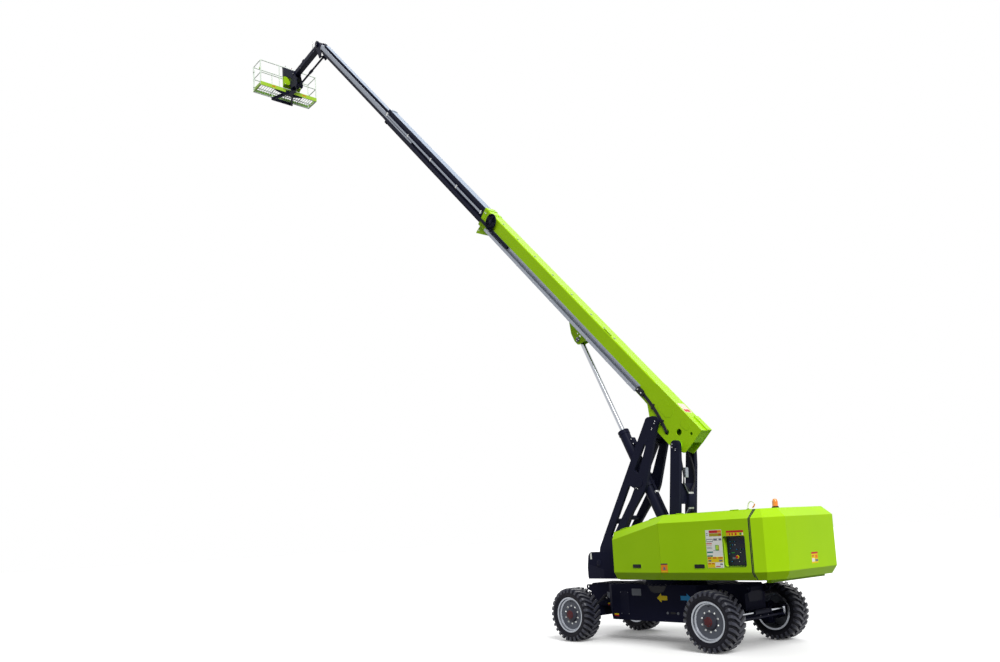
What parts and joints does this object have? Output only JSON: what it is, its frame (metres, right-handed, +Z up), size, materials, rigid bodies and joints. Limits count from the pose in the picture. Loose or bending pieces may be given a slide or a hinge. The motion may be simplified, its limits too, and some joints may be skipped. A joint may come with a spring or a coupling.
{
  "type": "telescopic boom lift",
  "caption": "Self-propelled telescopic boom lift: four-wheel steer chassis, slewing turntable, four-bar boom linkage, telescoping boom, articulated jib and a railed work platform.",
  "frame": {"origin": "on the ground under the middle of the machine's overall length and width, with the boom raised as stored", "axes": "+X from the counterweight towards the platform, +Y to the machine's left, +Z up"},
  "size_m": [21.5, 2.5634, 21.284],
  "materials": {
    "lime_paint": "glossy lime-green machine enamel",
    "dark_paint": "semi-gloss blue-black enamel",
    "rim_silver": "silver wheel enamel",
    "tyre_rubber": "matt tyre rubber",
    "chrome_rod": "hard chrome",
    "galvanised": "satin folded sheet",
    "machined": "oiled steel",
    "engine_iron": "painted castings",
    "tank_plastic": "moulded polyethylene",
    "amber_lens": "amber lens",
    "control_plastic": "moulded panel with a fine grain",
    "console_paint": "lime enamel with dark cover",
    "rail_paint": "pale enamel on tube"
  },
  "bodies": {
    "chassis": {"chassis_frame": "dark_paint", "axle_front": "dark_paint", "axle_rear": "dark_paint", "steering_cylinders": "dark_paint", "slew_ring": "machined"},
    "knuckle_front_left": {"knuckle_front_left": "dark_paint"},
    "wheel_front_left": {"tyre_front_left": "tyre_rubber", "rim_front_left": "rim_silver"},
    "knuckle_front_right": {"knuckle_front_right": "dark_paint"},
    "wheel_front_right": {"tyre_front_right": "tyre_rubber", "rim_front_right": "rim_silver"},
    "knuckle_rear_left": {"knuckle_rear_left": "dark_paint"},
    "wheel_rear_left": {"tyre_rear_left": "tyre_rubber", "rim_rear_left": "rim_silver"},
    "knuckle_rear_right": {"knuckle_rear_right": "dark_paint"},
    "wheel_rear_right": {"tyre_rear_right": "tyre_rubber", "rim_rear_right": "rim_silver"},
    "steer_rod_front": {"steer_rod_front": "chrome_rod"},
    "steer_rod_rear": {"steer_rod_rear": "chrome_rod"},
    "turntable": {"turntable_frame": "dark_paint", "counterweight": "lime_paint", "hood_shell_left": "lime_paint", "hood_shell_right": "lime_paint", "engine_block": "engine_iron", "tank_block": "tank_plastic", "beacon": "amber_lens"},
    "hood_door_rear_left": {"hood_door_rear_left": "lime_paint", "ground_control_panel": "control_plastic"},
    "hood_door_rear_right": {"hood_door_rear_right": "lime_paint"},
    "hood_door_front_left": {"hood_door_front_left": "lime_paint"},
    "hood_door_front_right": {"hood_door_front_right": "lime_paint"},
    "rear_link": {"rear_link": "dark_paint"},
    "front_link": {"front_link": "dark_paint"},
    "lift_cylinder_barrel": {"lift_cylinder_barrel": "dark_paint"},
    "lift_cylinder_rod": {"lift_cylinder_rod": "chrome_rod"},
    "base_boom": {"base_boom": "lime_paint", "cable_tray": "galvanised", "carrier_guard": "dark_paint"},
    "fly_2": {"fly_2": "dark_paint"},
    "fly_3": {"fly_3": "dark_paint"},
    "boom_head": {"boom_head": "dark_paint"},
    "jib_arm": {"jib_arm": "dark_paint"},
    "jib_tie": {"jib_tie": "dark_paint"},
    "platform_support": {"platform_support": "dark_paint"},
    "platform": {"platform_cage": "rail_paint", "control_console": "console_paint"},
    "platform_gate": {"platform_gate": "rail_paint"}
  },
  "joints": [
    {"name": "steer_front_left", "type": "hinge", "parent": "chassis", "child": "knuckle_front_left", "pos_m": [-5.53, 0.8, 0.5775], "axis": [0, 0, 1], "range_deg": [-24, 24]},
    {"name": "wheel_front_left", "type": "hinge", "parent": "knuckle_front_left", "child": "wheel_front_left", "pos_m": [-5.53, 1.06, 0.5775], "axis": [0, 1, 0], "continuous": true},
    {"name": "steer_front_right", "type": "hinge", "parent": "chassis", "child": "knuckle_front_right", "pos_m": [-5.53, -0.8, 0.5775], "axis": [0, 0, 1], "range_deg": [-24.02, 24.02]},
    {"name": "wheel_front_right", "type": "hinge", "parent": "knuckle_front_right", "child": "wheel_front_right", "pos_m": [-5.53, -1.06, 0.5775], "axis": [0, 1, 0], "continuous": true},
    {"name": "steer_rear_left", "type": "hinge", "parent": "chassis", "child": "knuckle_rear_left", "pos_m": [-9.23, 0.8, 0.5775], "axis": [0, 0, 1], "range_deg": [-24, 24]},
    {"name": "wheel_rear_left", "type": "hinge", "parent": "knuckle_rear_left", "child": "wheel_rear_left", "pos_m": [-9.23, 1.06, 0.5775], "axis": [0, 1, 0], "continuous": true},
    {"name": "steer_rear_right", "type": "hinge", "parent": "chassis", "child": "knuckle_rear_right", "pos_m": [-9.23, -0.8, 0.5775], "axis": [0, 0, 1], "range_deg": [-24.02, 24.02]},
    {"name": "wheel_rear_right", "type": "hinge", "parent": "knuckle_rear_right", "child": "wheel_rear_right", "pos_m": [-9.23, -1.06, 0.5775], "axis": [0, 1, 0], "continuous": true},
    {"name": "steer_rod_front", "type": "slide", "parent": "chassis", "child": "steer_rod_front", "axis": [0, 1, 0], "range_m": [-0.13522, 0.13522]},
    {"name": "steer_rod_rear", "type": "slide", "parent": "chassis", "child": "steer_rod_rear", "axis": [0, 1, 0], "range_m": [-0.13522, 0.13522]},
    {"name": "slew", "type": "hinge", "parent": "chassis", "child": "turntable", "pos_m": [-7.53, 0, 1.3], "axis": [0, 0, 1], "continuous": true},
    {"name": "hood_door_rear_left", "type": "hinge", "parent": "turntable", "child": "hood_door_rear_left", "pos_m": [-10.305, 1.0615, 2.613], "axis": [1, 0, 0], "range_deg": [0, 75]},
    {"name": "hood_door_front_left", "type": "hinge", "parent": "turntable", "child": "hood_door_front_left", "pos_m": [-8.193, 1.0615, 2.613], "axis": [0.9782, 0, -0.2075], "range_deg": [0, 75]},
    {"name": "hood_door_rear_right", "type": "hinge", "parent": "turntable", "child": "hood_door_rear_right", "pos_m": [-10.305, -1.0615, 2.613], "axis": [-1, 0, 0], "range_deg": [0, 75]},
    {"name": "hood_door_front_right", "type": "hinge", "parent": "turntable", "child": "hood_door_front_right", "pos_m": [-8.193, -1.0615, 2.613], "axis": [-0.9782, 0, 0.2075], "range_deg": [0, 75]},
    {"name": "boom_lift", "type": "hinge", "parent": "turntable", "child": "rear_link", "pos_m": [-7.85, 0, 1.5845], "axis": [0, 1, 0], "range_deg": [-26.05, 6.23]},
    {"name": "boom_pivot", "type": "hinge", "parent": "rear_link", "child": "base_boom", "pos_m": [-8.00543, 0, 4.05397], "axis": [0, -1, 0], "range_deg": [-72.88, 17.44]},
    {"name": "front_link", "type": "hinge", "parent": "turntable", "child": "front_link", "pos_m": [-5.74, 0, 1.6496], "axis": [0, 1, 0], "range_deg": [-23.26, 5.58]},
    {"name": "lift_cylinder_trunnion", "type": "hinge", "parent": "front_link", "child": "lift_cylinder_barrel", "pos_m": [-6.925, 0, 3.354], "axis": [0, -1, 0], "range_deg": [-62.43, 14.95]},
    {"name": "lift_cylinder_rod", "type": "slide", "parent": "lift_cylinder_barrel", "child": "lift_cylinder_rod", "axis": [0.4358, 0, 0.9], "range_m": [-1.59885, 0.38313]},
    {"name": "fly_2", "type": "slide", "parent": "base_boom", "child": "fly_2", "axis": [0.6845, 0, 0.729], "range_m": [-5.95, 0.35]},
    {"name": "fly_3", "type": "slide", "parent": "fly_2", "child": "fly_3", "axis": [0.6845, 0, 0.729], "range_m": [-5.951, 0.351]},
    {"name": "boom_head_level", "type": "hinge", "parent": "fly_3", "child": "boom_head", "pos_m": [7.06945, 0, 20.56433], "axis": [0, -1, 0], "range_deg": [-11.21, 46.83]},
    {"name": "jib", "type": "hinge", "parent": "boom_head", "child": "jib_arm", "pos_m": [7.3775, 0, 20.89236], "axis": [0, -1, 0], "range_deg": [-55, 58]},
    {"name": "jib_tie", "type": "hinge", "parent": "boom_head", "child": "jib_tie", "pos_m": [7.1775, 0, 20.32236], "axis": [0, -1, 0], "range_deg": [-55.02, 58.02]},
    {"name": "platform_level", "type": "hinge", "parent": "jib_arm", "child": "platform_support", "pos_m": [9.36862, 0, 20.70415], "axis": [0, -1, 0], "range_deg": [-58.02, 55.02]},
    {"name": "platform_rotate", "type": "hinge", "parent": "platform_support", "child": "platform", "pos_m": [9.67, 0, 20.18], "axis": [0, 0, 1], "range_deg": [-90, 90]},
    {"name": "platform_gate", "type": "hinge", "parent": "platform", "child": "platform_gate", "pos_m": [10.685, 1.166, 20.235], "axis": [0, 0, 1], "range_deg": [0, 90]}
  ],
  "couplings": [
    {"joint": "steer_front_right", "follows": "steer_front_left", "ratio": 1},
    {"joint": "steer_rod_front", "follows": "steer_front_left", "m_per_rad": 0.32043},
    {"joint": "steer_rear_right", "follows": "steer_rear_left", "ratio": 1},
    {"joint": "steer_rod_rear", "follows": "steer_rear_left", "m_per_rad": -0.32043},
    {"joint": "boom_pivot", "follows": "boom_lift", "ratio": 2.7968},
    {"joint": "front_link", "follows": "boom_lift", "ratio": 0.8921},
    {"joint": "lift_cylinder_trunnion", "follows": "boom_lift", "ratio": 2.3959},
    {"joint": "lift_cylinder_rod", "follows": "boom_lift", "m_per_rad": 3.5144},
    {"joint": "fly_3", "follows": "fly_2", "ratio": 1},
    {"joint": "boom_head_level", "follows": "boom_lift", "ratio": -1.7968},
    {"joint": "jib_tie", "follows": "jib", "ratio": 1},
    {"joint": "platform_level", "follows": "jib", "ratio": -1}
  ]
}
